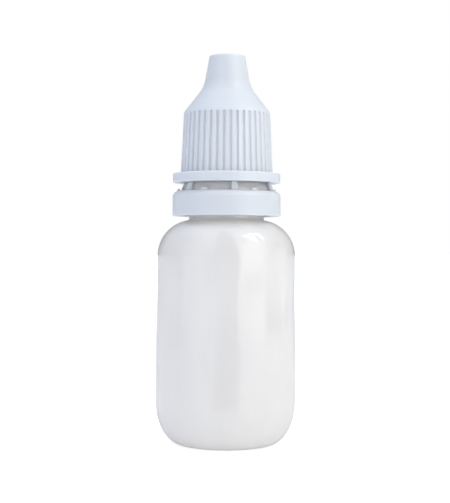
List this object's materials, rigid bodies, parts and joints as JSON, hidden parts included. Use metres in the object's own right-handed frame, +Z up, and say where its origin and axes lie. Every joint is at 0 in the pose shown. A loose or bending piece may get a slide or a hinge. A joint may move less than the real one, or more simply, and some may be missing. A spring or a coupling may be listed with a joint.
{
  "type": "dropper bottle",
  "caption": "Small round squeeze bottle with a dropper nozzle under a fluted, tapered screw cap and a tamper-evident ring on the neck.",
  "frame": {"origin": "centre of the standing ring under the base", "axes": "+Z up along the bottle's axis, from the base to the top of the cap; -Y towards the viewer; the body, neck and cap are round about Z"},
  "size_m": [0.023, 0.023, 0.064],
  "materials": {
    "natural_ldpe": "satin, milky translucent",
    "plug_ldpe": "satin, milky translucent",
    "white_cap_plastic": "satin"
  },
  "bodies": {
    "bottle": {"bottle": "natural_ldpe", "dropper_plug": "plug_ldpe"},
    "tamper_band": {"tamper_ring": "white_cap_plastic", "frangible_bridges": "white_cap_plastic"},
    "screw_cap": {"screw_cap": "white_cap_plastic"}
  },
  "joints": [
    {"name": "cap_turn", "type": "hinge", "parent": "bottle", "child": "tamper_band", "pos_m": [0, 0, 0.0394], "axis": [0, 0, 1], "range_deg": [0, 2880]},
    {"name": "cap_rise", "type": "slide", "parent": "tamper_band", "child": "screw_cap", "axis": [0, 0, 1], "range_m": [0, 0.024]}
  ],
  "couplings": [
    {"joint": "cap_rise", "follows": "cap_turn", "m_per_rad": 0.00047746}
  ]
}
